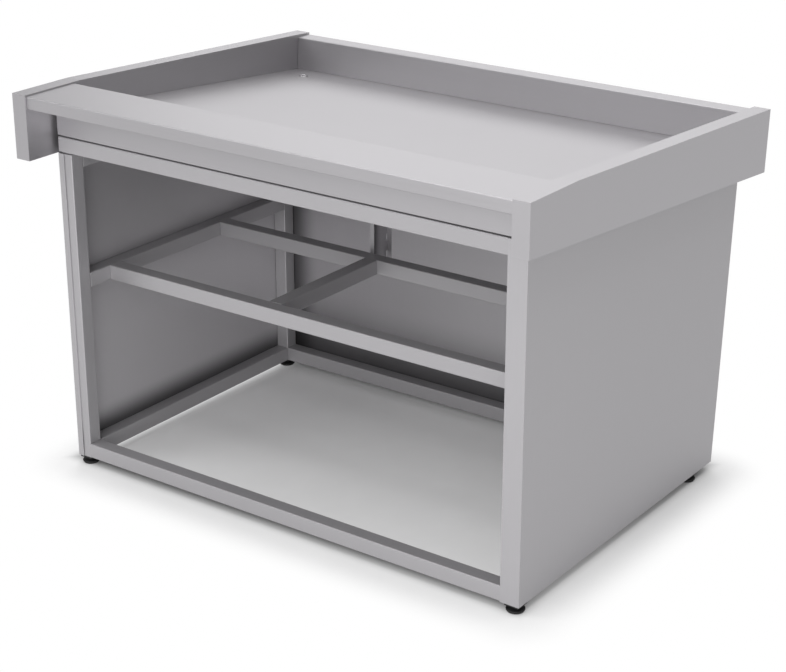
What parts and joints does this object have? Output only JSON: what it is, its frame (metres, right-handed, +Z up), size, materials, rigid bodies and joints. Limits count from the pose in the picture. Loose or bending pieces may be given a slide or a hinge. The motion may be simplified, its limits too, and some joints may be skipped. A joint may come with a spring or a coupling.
{
  "type": "fish display counter",
  "caption": "Stainless fish display counter: square-tube base open on the serving side, sheet panels on the other sides, and a sloping ice tray between deep end boards on top.",
  "frame": {"origin": "on the floor under the middle of the counter's outline", "axes": "+X along the counter to the right as seen from the open serving side, +Y from the serving side to the customer side, +Z up"},
  "size_m": [1.5, 1.12, 1.021],
  "materials": {
    "stainless": "satin, fine horizontal grain",
    "black_plastic": "matt"
  },
  "bodies": {
    "counter": {"post_near_left": "stainless", "post_near_right": "stainless", "post_rear_left": "stainless", "post_rear_right": "stainless", "bottom_rail_front": "stainless", "bottom_rail_rear": "stainless", "bottom_rail_left": "stainless", "bottom_rail_right": "stainless", "mid_rail_front": "stainless", "mid_rail_rear": "stainless", "mid_rail_left": "stainless", "mid_rail_right": "stainless", "mid_rail_divider": "stainless", "top_rail_front": "stainless", "top_rail_rear": "stainless", "top_rail_left": "stainless", "top_rail_right": "stainless", "post_cap_left": "stainless", "post_cap_right": "stainless", "rail_end_left": "stainless", "rail_end_right": "stainless", "side_panel_left": "stainless", "side_panel_right": "stainless", "back_panel": "stainless", "fascia": "stainless", "hanger": "stainless", "apron": "stainless", "nose": "stainless", "far_board": "stainless", "cheek_left": "stainless", "cheek_right": "stainless", "tray_pan": "stainless", "panel_bracket_lower_left": "stainless", "panel_bracket_lower_right": "stainless", "panel_bracket_upper_left": "stainless", "panel_bracket_upper_right": "stainless", "tray_bearer_left": "stainless", "tray_bearer_middle": "stainless", "tray_bearer_right": "stainless", "drain": "stainless", "drain_nut": "stainless", "foot_insert_near_left": "black_plastic", "foot_insert_near_right": "black_plastic", "foot_insert_rear_left": "black_plastic", "foot_insert_rear_right": "black_plastic"},
    "levelling_foot_near_left": {"foot_near_left": "black_plastic"},
    "levelling_foot_near_right": {"foot_near_right": "black_plastic"},
    "levelling_foot_rear_left": {"foot_rear_left": "black_plastic"},
    "levelling_foot_rear_right": {"foot_rear_right": "black_plastic"}
  },
  "joints": [
    {"name": "foot_screw_near_left", "type": "slide", "parent": "counter", "child": "levelling_foot_near_left", "axis": [0, 0, -1], "range_m": [0, 0.025]},
    {"name": "foot_screw_near_right", "type": "slide", "parent": "counter", "child": "levelling_foot_near_right", "axis": [0, 0, -1], "range_m": [0, 0.025]},
    {"name": "foot_screw_rear_left", "type": "slide", "parent": "counter", "child": "levelling_foot_rear_left", "axis": [0, 0, -1], "range_m": [0, 0.025]},
    {"name": "foot_screw_rear_right", "type": "slide", "parent": "counter", "child": "levelling_foot_rear_right", "axis": [0, 0, -1], "range_m": [0, 0.025]}
  ]
}
